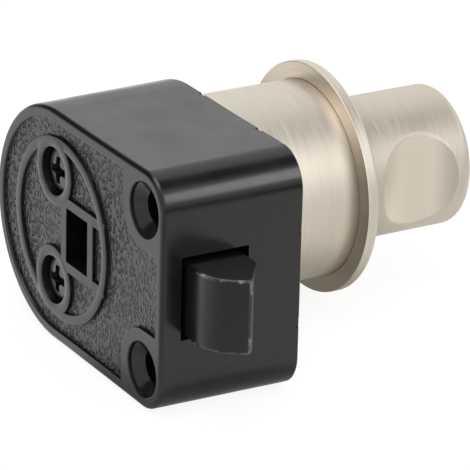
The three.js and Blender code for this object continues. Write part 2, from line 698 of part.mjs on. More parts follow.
function knobPlunger() {
  const neckFront = coreFront + SEAT_GAP;
  const stem = prism(stemSection(), stemShoulder, stemBack);
  const neck = rod(STEM_NECK, neckFront, stemShoulder + OVERRUN, 0, 0, SMALL_SIDES);
  const hollow = rod(STEM_HOLLOW, neckFront + STEM_WEB, stemBack + OVERRUN, 0, 0, SMALL_SIDES);
  const screwHole = rod(SCREW_HOLE, neckFront - OVERRUN, neckFront + STEM_WEB + OVERRUN, 0, 0);
  const pinHole = crossHole(PIN_RADIUS + SEAT_GAP, STEM_Z + OVERRUN);
  return cut(stem.add(neck), [hollow, screwHole, camTrack(), pinHole]);
}

function lockTongue() {
  const halfZ = WINDOW_HEIGHT / 2 - TONGUE_GAP;
  const left = WINDOW_X - WINDOW_WIDTH / 2 + TONGUE_GAP;
  const right = WINDOW_X + WINDOW_WIDTH / 2 - TONGUE_GAP;
  const plate = box(left, TONGUE_TAIL, plateFront, plateBack, -halfZ, halfZ);
  const tongue = box(left, right, plateFront, plateBack + TONGUE_LENGTH, -halfZ, halfZ);
  const spigot = rod(SPIGOT_RADIUS, plateFront - SPIGOT_LENGTH, plateFront + OVERRUN);
  return join([plate, tongue, spigot]).subtract(crossHole(PIN_RADIUS + SEAT_GAP, STEM_Z));
}

// A cross-recess screw along Y, its head towards +Y
function crossScrew(x, z, headTop, headRadius, headHeight, tip) {
  const under = headTop - headHeight;
  const head = rod(headRadius, under, headTop, x, z, SMALL_SIDES, headRadius - SLEEVE_EDGE);
  const shank = rod(SCREW_RADIUS, tip, under + headHeight / 2, x, z, SMALL_SIDES / 2);
  const half = RECESS_SPAN / 2;
  const wing = RECESS_WIDTH / 2;
  const low = headTop - RECESS_DEPTH;
  const high = headTop + OVERRUN;
  const slots = [
    box(x - half, x + half, low, high, z - wing, z + wing),
    box(x - wing, x + wing, low, high, z - half, z + half),
  ];
  return cut(head.add(shank), slots);
}

// The bent wire that rides in the cam track: anchor leg, main leg and tip
function camFollower() {
  const anchorEnd = followerX + FOLLOWER_ANCHOR;
  const tipX = STEM_X - TRACK_DEPTH + RUN_GAP;
  const tipY = trackStart;
  const leg = rod(WIRE_RADIUS, tipY, FOLLOWER_PIVOT_Y, followerX, 0, SMALL_SIDES / 2);
  const bars = [[followerX, anchorEnd, FOLLOWER_PIVOT_Y], [tipX, followerX, tipY]].map(([x0, x1, y]) => {
    const geometry = new THREE.CylinderGeometry(WIRE_RADIUS, WIRE_RADIUS, x1 - x0, SMALL_SIDES / 2);
    geometry.rotateZ(Math.PI / 2);
    geometry.translate((x0 + x1) / 2, y, 0);
    return toSolid(geometry);
  });
  const bends = [FOLLOWER_PIVOT_Y, tipY].map((y) => {
    const geometry = new THREE.SphereGeometry(WIRE_RADIUS, SMALL_SIDES / 2, SMALL_SIDES / 4);
    geometry.translate(followerX, y, 0);
    return toSolid(geometry);
  });
  return join([leg, ...bars, ...bends]);
}

function followerLeaf() {
  return box(leafX, leafX + LEAF_THICK, -BASE_FRONT - LEAF_LENGTH, -BASE_FRONT + LEAF_ROOT,
    -LEAF_WIDTH / 2, LEAF_WIDTH / 2);
}

function washer(inner, outer, thick) {
  const back = -BASE_FRONT - SEAT_GAP;
  return turned([[inner, back - thick], [outer, back - thick], [outer, back], [inner, back]]);
}

function guidePin() {
  const geometry = new THREE.CylinderGeometry(GUIDE_PIN_RADIUS, GUIDE_PIN_RADIUS,
    GUIDE_PIN_REACH, SMALL_SIDES / 2);
  geometry.rotateZ(Math.PI / 2);
  geometry.translate(postX - SEAT_GAP - GUIDE_PIN_REACH / 2, boltSpringY, 0);
  return toSolid(geometry);
}

const BLACK = new THREE.MeshStandardMaterial({ color: 0x1c1c1c, roughness: 0.42, metalness: 0 });
const COVER_BLACK = new THREE.MeshStandardMaterial({ color: 0x202020, roughness: 0.5, metalness: 0 });
const BOLT_BLACK = new THREE.MeshStandardMaterial({ color: 0x242424, roughness: 0.35, metalness: 0 });
const NICKEL = new THREE.MeshStandardMaterial({ color: 0xc9c2b4, roughness: 0.32, metalness: 1 });
const STEEL = new THREE.MeshStandardMaterial({ color: 0xb4b4b4, roughness: 0.35, metalness: 1 });
const BLACK_STEEL = new THREE.MeshStandardMaterial({ color: 0x3a3a3c, roughness: 0.4, metalness: 1 });
const NYLON = new THREE.MeshStandardMaterial({ color: 0xe2dfd5, roughness: 0.55, metalness: 0 });
const RUBBER = new THREE.MeshStandardMaterial({ color: 0x191919, roughness: 0.9, metalness: 0 });

const latch = new THREE.Group();

function piece(name, solid, material) {
  const mesh = new THREE.Mesh(toGeometry(solid), material.clone());
  mesh.name = name;
  latch.add(mesh);
}

piece("case_body", caseBody(), BLACK);
piece("case_cover", caseCover(), COVER_BLACK);
piece("latch_bolt", latchBolt(), BOLT_BLACK);
piece("bolt_spring", coilSpring("bolt_spring", [1, 0, 0], new THREE.Vector3(0, boltSpringY, 0),
  channelStart + SEAT_GAP, postX - SEAT_GAP, BOLT_SPRING_RADIUS, BOLT_SPRING_WIRE, BOLT_SPRING_TURNS),
STEEL);
piece("bolt_guide_pin", guidePin(), STEEL);
piece("sleeve", sleeve(), NICKEL);
piece("rosette", rosette(), NICKEL);
piece("knob_cap", knobCap(), NICKEL);
piece("glide_ring", glideRing(), NYLON);
piece("knob_plunger", knobPlunger(), BLACK);
piece("knob_screw", crossScrew(0, 0, coreFront + SEAT_GAP + STEM_WEB + SEAT_GAP + KNOB_SCREW_HEIGHT,
  KNOB_SCREW_HEAD, KNOB_SCREW_HEIGHT, coreFront - KNOB_SCREW_BITE), STEEL);
piece("lock_tongue", lockTongue(), STEEL);
piece("tongue_pin", crossHole(PIN_RADIUS, STEM_Z - PIN_INSET), STEEL);
piece("knob_spring", coilSpring("knob_spring", [0, 1, 0], new THREE.Vector3(),
  stepY + SEAT_GAP, washerFront - SEAT_GAP, KNOB_SPRING_RADIUS, KNOB_SPRING_WIRE,
  KNOB_SPRING_TURNS), STEEL);
piece("spring_washer", washer(WASHER_INNER, WASHER_OUTER, WASHER_THICK), STEEL);
piece("stop_ring", washer(STOP_INNER, STOP_OUTER, STOP_THICK), RUBBER);
piece("cam_follower", camFollower(), STEEL);
piece("follower_leaf", followerLeaf(), STEEL);
["upper", "lower"].forEach((place, i) => {
  const z = i === 0 ? SCREW_Z : -SCREW_Z;
  piece(`sleeve_screw_${place}`, crossScrew(0, z, wellFloor + SEAT_GAP + SCREW_HEAD_HEIGHT,
    SCREW_HEAD, SCREW_HEAD_HEIGHT, -BASE_FRONT + SCREW_TIP), BLACK_STEEL);
});

latch.position.x = -fixingX;

export default latch;
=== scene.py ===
import math

import bmesh
import bpy
import numpy as np
from mathutils import Matrix, Vector

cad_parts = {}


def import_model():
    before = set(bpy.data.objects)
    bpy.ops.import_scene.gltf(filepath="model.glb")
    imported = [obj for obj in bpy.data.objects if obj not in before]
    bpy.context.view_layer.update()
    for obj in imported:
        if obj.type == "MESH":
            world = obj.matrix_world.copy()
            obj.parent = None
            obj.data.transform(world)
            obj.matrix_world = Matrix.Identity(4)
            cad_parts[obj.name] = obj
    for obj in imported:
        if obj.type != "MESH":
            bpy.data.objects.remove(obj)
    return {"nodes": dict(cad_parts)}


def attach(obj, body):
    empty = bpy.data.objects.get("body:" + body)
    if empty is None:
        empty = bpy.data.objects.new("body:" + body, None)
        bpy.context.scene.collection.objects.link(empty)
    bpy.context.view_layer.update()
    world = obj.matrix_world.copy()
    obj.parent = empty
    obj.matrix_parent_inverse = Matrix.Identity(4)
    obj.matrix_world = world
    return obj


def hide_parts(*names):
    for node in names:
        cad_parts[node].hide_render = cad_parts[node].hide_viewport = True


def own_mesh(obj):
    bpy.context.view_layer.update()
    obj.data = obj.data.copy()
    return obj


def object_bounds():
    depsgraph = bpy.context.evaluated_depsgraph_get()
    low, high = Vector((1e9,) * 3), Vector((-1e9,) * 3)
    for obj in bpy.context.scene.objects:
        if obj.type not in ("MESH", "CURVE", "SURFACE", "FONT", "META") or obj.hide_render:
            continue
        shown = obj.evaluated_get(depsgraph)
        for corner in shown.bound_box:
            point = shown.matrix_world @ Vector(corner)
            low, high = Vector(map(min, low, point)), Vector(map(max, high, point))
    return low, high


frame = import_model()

cad_low, cad_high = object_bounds()

# Lengths are millimetres about the knob's axis, which runs along Y; AXIS_X brings them into the frame
MM = 0.001
AXIS_X = 22.8
SHIFT = Matrix.Translation((AXIS_X * MM, 0, 0)) @ Matrix.Scale(MM, 4)

# The case
CASE_DEPTH = 19.0
HALF_HEIGHT = 15.35
REACH = 27.5
CORNER = 4.6
SHARPEST_CORNER = 0.4
DRAFT = 0.2
BOW = 0.05
EDGE = 0.6
FOOT = 0.12
BACK_INNER = 16.4

# Outlines of the case moved in, as (y, inset) pairs
FIELD = 18.57
HOLLOW = ((-1.0, 2.0), (BACK_INNER, 2.2))
COVER_SEAT = ((-1.0, 0.9), (0.0, 0.9), (0.1, 1.0), (2.05, 1.0))
FIELD_WALL = ((FIELD, 1.9), (FIELD + 0.06, 1.74), (18.82, 1.7), (18.9, 1.67), (18.97, 1.6), (19.0, 1.5),
              (20.0, 1.4))
COVER_PLATE = ((0.0, 1.27), (0.12, 1.15), (2.0, 1.15))

# What stands up from the fields, each kind to a height of its own, so that no two tops share a plane
LAND_LOW = 17.5
LAND_EDGE = 0.16
RING_TOP = 18.997
FRAME_TOP = 18.994
BAR_TOP = 18.99
BOSS_TOP = 18.998
PAD_TOP = 18.992
RING_X = -1.8
RING_IN = 10.6
RING_OUT = 11.9
BOSS_RADIUS = 4.5
PAD_RADIUS = 5.2
PAD_INSET = 0.9
BEYOND_X = -30
BEYOND_Z = 17
WINDOW_X = -6.1
WINDOW_WIDTH = 5.4
WINDOW_HEIGHT = 7.0
WINDOW_FRAME = 1.4
WINDOW_ROUND = 0.12
WINDOW_LOW = 15

# The columns under the screws and the tubes round the fixing holes: radius, low y and high y
SCREW_Z = 7.2
FIXING_X = -22.8
FIXING_Z = 10.25
SCREW_COLUMN = (3.2, 1.65, 17)
FIXING_TUBE = (3.6, 2.05, 17)

# Turned holes, as (radius, y) pairs
SCREW_WELL = ((0, -1), (1.6, -1), (1.6, 16.75), (3.0, 16.75), (3.05, 18.85), (3.1, 18.95), (3.2, 19.0),
              (3.3, 20), (0, 20))
COUNTERSINK = ((0, -1), (2.1, -1), (2.1, 17.3), (3.38, 18.5), (3.46, 18.88), (3.54, 18.96), (3.66, 19.0),
               (3.8, 20), (0, 20))
COVER_OPENING = ((0, -1), (10.9, -1), (10.9, 0.0), (10.75, 0.05), (10.7, 0.2), (10.7, 3), (0, 3))
COVER_HOLE = ((0, -1), (2.3, -1), (2.3, 0.0), (2.15, 0.06), (2.1, 0.2), (2.1, 3), (0, 3))

# The cover's lugs and their notches: half a width, low y, high y, and how far out in Z and in X
LUG_X = (-0.13 * REACH, -0.63 * REACH)
LUG_Z = (HALF_HEIGHT - CORNER) * 0.57
LUG_ROOT_X = -25.2
LUG_ROOT_Z = 13.0
LUG = (0.55, 0.02, 0.45, 15.05, -27.35)
NOTCH = (0.6, -1, 0.5, 16.5, -28.5)

# The bolt. Its ramp bulges, and RAMP has its points from the nose to the flat back. The pocket, like
# the sleeve's opening and notch below, is given by low and high x, y and z
BOLT_FRONT = 8.2
BOLT_BACK = 16.0
BOLT_HALF = 4.72
BOLT_NOSE = -35.72
BOLT_ROUND = 0.36
BOLT_TAIL = -17.0
BOLT_FLAT = 3.4
BEVEL_DEPTH = 3.35
BEVEL_ROUND = (0.8, 0.7)
NOSE_ROUND = 0.45
SHOULDER_X = (-25.2, -23.0)
SHOULDER_HALF = 5.85
ARM_X = (-18.0, -12.6)
ARM_Z = (3.65, 4.65)
SPRING_POCKET = (-26.1, -16.0, 10.0, 17.0, -2.7, 2.7)
RAMP = ((-35.7, 12.1), (-35.02, 13.3), (-34.4, 14.1), (-33.72, 14.76), (-32.85, 15.38), (-31.8, 15.83),
        (-30.7, 15.985), (-29.6, 16.0))

# The sleeve, rosette and knob
SLEEVE_BASE = -2.4
BASE_OPENING = (-4.5, 4.5, -4, 3, -3.9, 3.9)
BASE_NOTCH = (3.9, 5.5, -4, 0.9, -1.4, 1.4)
BORE = 10.3
BORE_END = -14.1
SLEEVE_MOUTH = 11.6
SLEEVE_RADIUS = 12.75
SLEEVE_EDGE = 0.2
SLEEVE_END = -17.7
ROSETTE_BACK = -17.45
ROSETTE_FRONT = -19.05
ROSETTE_RADIUS = 15
ROSETTE_HOLE = 9.5
ROSETTE_SKIRT = 11.45
FRONT_EDGE = 0.4
BACK_EDGE = 0.12
KNOB_FRONT = -36.95
KNOB_BACK = -15.8
KNOB_RADIUS = 9.2
KNOB_EDGE = 1.2
KNOB_WALL = 7.9
KNOB_STEP = 0.1
SCOOP_DEPTH = 2.25
SCOOP_HALF = 5.7
SCOOP_Y = ROSETTE_FRONT - 17.9 * 0.57
SCOOP_SOFT = 0.3

# The screws, with their heads towards +Y
SCREW_TOP = 18.4
SCREW_TIP = -2.0
SCREW_SHANK = 1.45
HEAD_RADIUS = 2.75
HEAD_HEIGHT = 1.65
HEAD_CROWN = 0.45

# The springs and the travel that shortens them
KNOB_SPRING = (-22.4, -3.05)
BOLT_SPRING = (-26.05, -10.45)
BOLT_SPRING_Y = 12.7


# Meshes

def placed(name, data):
    obj = bpy.data.objects.new(name, data)
    bpy.context.scene.collection.objects.link(obj)
    return obj


def add(name, mesh, body, cad, mat, smooth=35):
    """A finished mesh in millimetres becomes a piece of the scene."""
    obj = placed(name, mesh)
    mesh.transform(SHIFT)
    soften(mesh, smooth)
    weigh = obj.modifiers.new("even shading", "WEIGHTED_NORMAL")
    weigh.keep_sharp = True
    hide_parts(cad)
    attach(obj, body)
    obj.data.materials.clear()
    obj.data.materials.append(mat)
    return obj


def paint(obj, mat, chosen):
    """A further material for the faces that chosen picks by their middle and their normal."""
    obj.data.materials.append(mat)
    for face in obj.data.polygons:
        x, y, z = face.center / MM
        if chosen(x - AXIS_X, y, z, face.normal):
            face.material_index = len(obj.data.materials) - 1


def soften(mesh, degrees):
    """Smooth faces, with sharp edges where two faces meet at more than this angle."""
    bm = bmesh.new()
    bm.from_mesh(mesh)
    limit = math.radians(degrees)
    for face in bm.faces:
        face.smooth = True
    for edge in bm.edges:
        edge.smooth = len(edge.link_faces) == 2 and edge.calc_face_angle(0) < limit
    bm.to_mesh(mesh)
    bm.free()


def mesh_of(verts, faces):
    mesh = bpy.data.meshes.new("form")
    mesh.from_pydata([tuple(v) for v in verts], [], [tuple(f) for f in faces])
    bm = bmesh.new()
    bm.from_mesh(mesh)
    bmesh.ops.recalc_face_normals(bm, faces=bm.faces)
    bm.to_mesh(mesh)
    bm.free()
    return mesh


def boolean(mesh, others, how):
    """mesh joined with the others, cut by them, or kept only where they are."""
    base = placed("base", mesh)
    tools = []
    for other in others:
        tool = placed("tool", other)
        modifier = base.modifiers.new("step", "BOOLEAN")
        modifier.operation = how
        modifier.solver = "EXACT"
        modifier.object = tool
        tools.append(tool)
    graph = bpy.context.evaluated_depsgraph_get()
    result = bpy.data.meshes.new_from_object(base.evaluated_get(graph))
    for tool in [*tools, base]:
        bpy.data.objects.remove(tool)
    return result


def cut(mesh, *others):
    return boolean(mesh, others, "DIFFERENCE")


def join(mesh, *others):
    return boolean(mesh, others, "UNION")


def common(mesh, *others):
    return boolean(mesh, others, "INTERSECT")


def rings(levels):
    """A closed mesh through rings of points, with flat ends."""
    count = len(levels[0])
    verts = [p for level in levels for p in level]
    faces = []
    for a in range(len(levels) - 1):
        low, high = a * count, (a + 1) * count
        for i in range(count):
            n = (i + 1) % count
            faces.append((low + i, low + n, high + n, high + i))
    last = (len(levels) - 1) * count
    faces += [tuple(range(count)), tuple(last + i for i in range(count))]
    return mesh_of(verts, faces)


def lathe(points, sides=160, x=0.0, z=0.0):
    """A solid of revolution about an axis along Y, from (radius, y) points; radius 0 is on the axis."""
    verts, faces = [], []
    rows = []
    for radius, y in points:
        if radius == 0:
            rows.append([len(verts)])
            verts.append((x, y, z))
            continue
        rows.append(list(range(len(verts), len(verts) + sides)))
        for k in range(sides):
            a = 2 * math.pi * k / sides
            verts.append((x + radius * math.cos(a), y, z + radius * math.sin(a)))
    closed = len(rows[0]) > 1 and len(rows[-1]) > 1
    pairs = list(zip(rows, rows[1:] + rows[:1])) if closed else list(zip(rows, rows[1:]))
    for low, high in pairs:
        for k in range(sides):
            n = (k + 1) % sides
            if len(low) == 1 and len(high) == 1:
                continue
            if len(low) == 1:
                faces.append((low[0], high[k], high[n]))
            elif len(high) == 1:
                faces.append((low[k], low[n], high[0]))
            else:
                faces.append((low[k], low[n], high[n], high[k]))
    return mesh_of(verts, faces)


def rod(radius, low, high, x, z):
    return lathe([(0, low), (radius, low), (radius, high), (0, high)], 64, x, z)


def arc(cx, cz, radius, start, end, steps):
    turns = [start + (end - start) * i / steps for i in range(steps + 1)]
    return [(cx + radius * math.cos(t), cz + radius * math.sin(t)) for t in turns]


def rounding(steps):
    """Shares of a quarter round: how far in and how far down, from the side to the top."""
    turns = [math.pi / 2 * i / steps for i in range(steps + 1)]
    return [(1 - math.cos(t), 1 - math.sin(t)) for t in turns]


def outline(inset):
    """The case's D in X and Z, moved in by the inset; its long sides bow in a little."""
    big = HALF_HEIGHT - inset
    small = max(CORNER - inset, SHARPEST_CORNER)
    cx, cz = -REACH + inset + small, big - small
    side = [(cx * t, big - BOW * 4 * t * (1 - t)) for t in (i / 10 for i in range(1, 10))]
    return [
        *arc(0, 0, big, -math.pi / 2, math.pi / 2, 96),
        *side,
        *arc(cx, cz, small, math.pi / 2, math.pi, 18),
        *arc(cx, -cz, small, math.pi, 1.5 * math.pi, 18),
        *((x, -z) for x, z in reversed(side)),
    ]


def corners(x0, x1, z0, z1):
    return [(x0, z0), (x1, z0), (x1, z1), (x0, z1)]


def at_height(points, y):
    """A plane outline in X and Z, placed at y."""
    return [(x, y, z) for x, z in points]


def loft(levels):
    return rings([at_height(outline(inset), y) for y, inset in levels])


def slab(x0, x1, y0, y1, z0, z1):
    return rings([at_height(corners(x0, x1, z0, z1), y) for y in (y0, y1)])


def inward(points, distance):
    """A closed plane outline moved inwards by a distance."""
    count = len(points)
    area = sum(points[i][0] * points[(i + 1) % count][1] - points[(i + 1) % count][0] * points[i][1]
               for i in range(count))
    side = 1 if area > 0 else -1
    moved = []
    for i in range(count):
        a, b, c = (Vector(points[(i + k) % count]) for k in (-1, 0, 1))
        u, v = (b - a).normalized(), (c - b).normalized()
        n1, n2 = Vector((-u.y, u.x)) * side, Vector((-v.y, v.x)) * side
        n = n1 + n2
        moved.append(tuple(b + n * distance / max(0.2, (1 + n1.dot(n2)))))
    return moved


def land(points, top):
    """A flat-topped form that stands up from the fields, its top edge rounded."""
    levels = [at_height(points, LAND_LOW)]
    for across, down in rounding(3):
        levels.append(at_height(inward(points, across * LAND_EDGE), top - down * LAND_EDGE))
    return rings(levels)


def turned_edge(radius, top, side=1):
    """The rounded top edge of a turned land, outside it (side 1) or in its hole (side -1)."""
    return [(radius - side * across * LAND_EDGE, top - down * LAND_EDGE) for across, down in rounding(3)]


# The case

def window_cutter():
    """A cutter whose mouth flares in a small round."""
    half_x, half_z = WINDOW_WIDTH / 2, WINDOW_HEIGHT / 2
    window = corners(WINDOW_X - half_x, WINDOW_X + half_x, -half_z, half_z)
    levels = [at_height(window, WINDOW_LOW)]
    for across, down in rounding(3):
        shape = inward(window, -(across * WINDOW_ROUND))
        levels.append(at_height(shape, CASE_DEPTH - down * WINDOW_ROUND))
    levels.append(at_height(inward(window, -WINDOW_ROUND), CASE_DEPTH + 1.0))
    return rings(levels)


def bolt_slot():
    """The cutter of the bolt's opening in the case's end, w wider at its mouth."""
    half, low_y, high_y = BOLT_HALF + 0.58, BOLT_FRONT - 0.9, BOLT_BACK + 0.3
    levels = []
    for x, w in ((-29.0, 0.1), (-REACH, 0.1), (-REACH + 0.12, 0.0), (-24.5, 0.0)):
        levels.append([(x, low_y - w, -half - w), (x, high_y + w, -half - w),
                       (x, high_y + w, half + w), (x, low_y - w, half + w)])
    return rings(levels)


def edge_blocks(half, low, high, far_z, far_x):
    """Blocks across the case's edge at the cover: two on each long side and two on the end."""
    blocks = []
    for x in LUG_X:
        for side in (1, -1):
            z0, z1 = sorted((side * far_z, side * LUG_ROOT_Z))
            blocks.append(slab(x - half, x + half, low, high, z0, z1))
    for side in (1, -1):
        blocks.append(slab(far_x, LUG_ROOT_X, low, high, side * LUG_Z - half, side * LUG_Z + half))
    return blocks


def lands():
    """What stands up from the fields, and the columns and tubes inside the case."""
    ring = [(RING_IN, LAND_LOW), (RING_OUT, LAND_LOW), *turned_edge(RING_OUT, RING_TOP),
            *reversed(turned_edge(RING_IN, RING_TOP, -1))]
    half_x, half_z = WINDOW_WIDTH / 2 + WINDOW_FRAME, WINDOW_HEIGHT / 2 + WINDOW_FRAME
    made = [
        lathe(ring, 192, RING_X),
        land(corners(WINDOW_X - half_x, WINDOW_X + half_x, -half_z, half_z), FRAME_TOP),
    ]
    bar_end = RING_X - (RING_IN + RING_OUT) / 2
    boss = [(0, LAND_LOW), (BOSS_RADIUS, LAND_LOW), *turned_edge(BOSS_RADIUS, BOSS_TOP), (0, BOSS_TOP)]
    for side in (1, -1):
        z0, z1 = sorted((side * WINDOW_HEIGHT / 2, side * half_z))
        made.append(land(corners(bar_end, WINDOW_X, z0, z1), BAR_TOP))
        made.append(lathe(boss, 96, 0, side * SCREW_Z))
        z_in, z_out = side * (FIXING_Z - PAD_RADIUS), side * BEYOND_Z
        quarter = arc(FIXING_X, side * FIXING_Z, PAD_RADIUS, -side * math.pi / 2, 0, 24)
        pad = [(BEYOND_X, z_in), (FIXING_X, z_in), *quarter[1:], (FIXING_X + PAD_RADIUS, z_out),
               (BEYOND_X, z_out)]
        inside = loft([(LAND_LOW - 1, PAD_INSET), (CASE_DEPTH + 1, PAD_INSET)])
        made.append(common(land(pad, PAD_TOP), inside))
        made.append(rod(*SCREW_COLUMN, 0, side * SCREW_Z))
        made.append(rod(*FIXING_TUBE, FIXING_X, side * FIXING_Z))
    return made


def case_mesh():
    outside = [(0.0, FOOT), (FOOT, 0.0), (CASE_DEPTH - EDGE, DRAFT)]
    outside += [(CASE_DEPTH - EDGE * down, DRAFT + EDGE * across) for across, down in rounding(7)[1:]]
    body = cut(loft(outside), loft(HOLLOW), loft(COVER_SEAT), loft(FIELD_WALL))
    body = join(body, *lands())
    tools = []
    for side in (1, -1):
        tools.append(lathe(SCREW_WELL, 96, 0, side * SCREW_Z))
        tools.append(lathe(COUNTERSINK, 96, FIXING_X, side * FIXING_Z))
    return cut(body, *tools, window_cutter(), bolt_slot(), *edge_blocks(*NOTCH))


def cover_mesh():
    body = join(loft(COVER_PLATE), *edge_blocks(*LUG))
    holes = [lathe(COVER_HOLE, 64, FIXING_X, side * FIXING_Z) for side in (1, -1)]
    return cut(body, lathe(COVER_OPENING), *holes)


# The bolt: an outline in X and Y, drawn along Z with rounded ends

def curve(points, steps):
    """Points of a quadratic curve from three control points, without the first."""
    a, b, c = (Vector(p) for p in points)
    shares = [i / steps for i in range(1, steps + 1)]
    return [tuple(a * (1 - t) ** 2 + b * 2 * t * (1 - t) + c * t * t) for t in shares]


def spline(points, steps=4):
    """A smooth line through all the points."""
    ends = [points[0], *points, points[-1]]
    line = [points[0]]
    for i in range(1, len(points)):
        a, b, c, d = (Vector(p) for p in ends[i - 1:i + 3])
        square = a * 2 - b * 5 + c * 4 - d
        cube = b * 3 - a - c * 3 + d
        for t in (k / steps for k in range(1, steps + 1)):
            p = b * 2 + (c - a) * t + square * t * t + cube * t * t * t
            line.append(tuple(p / 2))
    return line


def bolt_outline():
    """From the tail along the front, down the bevel, round the nose and back over the ramp."""
    flat, nose_y = -REACH - BOLT_FLAT, BOLT_FRONT + BEVEL_DEPTH
    slope = BEVEL_DEPTH / (flat - BOLT_NOSE)
    before, after = BEVEL_ROUND
    start = (flat + before, BOLT_FRONT)
    tip = (BOLT_NOSE + NOSE_ROUND, nose_y - NOSE_ROUND * slope)
    return [
        (BOLT_TAIL, BOLT_FRONT), start,
        *curve([start, (flat, BOLT_FRONT), (flat - after, BOLT_FRONT + after * slope)], 6),
        tip,
        *curve([tip, (BOLT_NOSE, nose_y), RAMP[0]], 8),
        *spline(RAMP)[1:],
        (BOLT_TAIL, BOLT_BACK),
    ]


def bolt_mesh():
    shape = bolt_outline()
    levels = []
    for across, down in reversed(rounding(5)):
        levels.append((inward(shape, across * BOLT_ROUND), -BOLT_HALF + down * BOLT_ROUND))
    levels += [(points, -z) for points, z in reversed(levels)]
    block = rings([[(x, y, z) for x, y in points] for points, z in levels])
    shoulder = slab(*SHOULDER_X, BOLT_FRONT, BOLT_BACK, -SHOULDER_HALF, SHOULDER_HALF)
    low, high = ARM_Z
    arms = [slab(*ARM_X, BOLT_FRONT, BOLT_BACK, z0, z1) for z0, z1 in ((low, high), (-high, -low))]
    return cut(join(block, shoulder, *arms), slab(*SPRING_POCKET))


# Metal pieces

def sleeve_mesh():
    profile = [(BORE, SLEEVE_BASE), (BORE, BORE_END), (SLEEVE_MOUTH, BORE_END)]
    profile += [(SLEEVE_MOUTH, SLEEVE_END + 0.15), (SLEEVE_MOUTH + 0.15, SLEEVE_END)]
    profile += [(SLEEVE_RADIUS - across * SLEEVE_EDGE, SLEEVE_END + down * SLEEVE_EDGE)
                for across, down in reversed(rounding(5))]
    profile += [(SLEEVE_RADIUS, y) for y in np.linspace(-17.0, -0.2, 24)]
    profile += [(12.6, -0.05), (10.4, -0.05), (10.4, 1.6), (0, 1.6), (0, SLEEVE_BASE)]
    return cut(lathe(profile, 192), slab(*BASE_OPENING), slab(*BASE_NOTCH))


def rosette_mesh():
    seat = SLEEVE_END - 0.05
    profile = [(ROSETTE_HOLE, ROSETTE_FRONT + 0.2), (ROSETTE_HOLE + 0.2, ROSETTE_FRONT)]
    profile += [(ROSETTE_RADIUS - across * FRONT_EDGE, ROSETTE_FRONT + down * FRONT_EDGE)
                for across, down in reversed(rounding(5))]
    profile += [(ROSETTE_RADIUS - across * BACK_EDGE, ROSETTE_BACK - down * BACK_EDGE)
                for across, down in rounding(3)]
    profile += [(12.84, ROSETTE_BACK), (12.8, ROSETTE_BACK - 0.04), (12.8, seat), (ROSETTE_SKIRT, seat)]
    profile += [(ROSETTE_SKIRT, -14.5), (BORE, -14.45), (BORE, ROSETTE_BACK)]
    profile.append((ROSETTE_HOLE, ROSETTE_BACK))
    return lathe(profile, 192)


def knob_mesh():
    """The knob's shell; the finger scoops push its outside in along X, with a soft edge."""
    profile = [(r, KNOB_FRONT) for r in (0, 2, 4, 6, 7, 7.6)]
    profile += [(KNOB_RADIUS - across * KNOB_EDGE, KNOB_FRONT + down * KNOB_EDGE)
                for across, down in reversed(rounding(12))]
    fine = np.arange(KNOB_FRONT + KNOB_EDGE + KNOB_STEP, -19.5, KNOB_STEP)
    profile += [(KNOB_RADIUS, y) for y in fine]
    profile += [(KNOB_RADIUS, KNOB_BACK), (KNOB_WALL, KNOB_BACK), (KNOB_WALL, -23.0), (5.4, -23.0),
                (5.4, -33.25), (0, -33.25)]
    mesh = lathe(profile, 288)
    scoop_radius = (SCOOP_HALF * SCOOP_HALF + SCOOP_DEPTH * SCOOP_DEPTH) / (2 * SCOOP_DEPTH)
    low_y, high_y = KNOB_FRONT + 0.02, fine[-1] + 0.001
    for v in mesh.vertices:
        x, y, z = v.co
        if not low_y < y < high_y or math.hypot(x, z) < KNOB_WALL + 0.05:
            continue
        reach = scoop_radius ** 2 - (y - SCOOP_Y) ** 2
        if reach <= 0:
            continue
        wall = KNOB_RADIUS - SCOOP_DEPTH + scoop_radius - math.sqrt(reach)
        size = abs(x)
        if size > wall - SCOOP_SOFT:
            share = max(0.0, min(1.0, 0.5 + 0.5 * (wall - size) / SCOOP_SOFT))
            depth = wall * (1 - share) + size * share - SCOOP_SOFT * share * (1 - share)
            v.co.x = math.copysign(depth, x)
    return mesh


def screw_mesh(z):
    """A pan-head screw with a tapered cross recess."""
    crown = [(HEAD_RADIUS * math.sin(t), SCREW_TOP - HEAD_CROWN * (1 - math.cos(t)))
             for t in np.linspace(0, 1.25, 8)[1:]]
    under = SCREW_TOP - HEAD_HEIGHT
    profile = [(0, SCREW_TIP), (1.0, SCREW_TIP), (SCREW_SHANK, SCREW_TIP + 0.6), (SCREW_SHANK, under),
               (HEAD_RADIUS, under), (HEAD_RADIUS, SCREW_TOP - 0.42), *reversed(crown), (0, SCREW_TOP)]
    cutters = []
    for wide, deep in ((1.9, 0.55), (0.55, 1.9)):
        levels = []
        for down, k in ((-1.1, 0.45), (-0.35, 0.8), (0.2, 1.05)):
            box = corners(-wide * k, wide * k, z - deep * k, z + deep * k)
            levels.append(at_height(box, SCREW_TOP + down))
        cutters.append(rings(levels))
    funnel = [(0, -1.2), (0.55, -1.1), (1.05, 0.2), (0, 0.2)]
    cutters.append(lathe([(radius, SCREW_TOP + down) for radius, down in funnel], 32, 0, z))
    return cut(lathe(profile, 72, 0, z), *cutters)


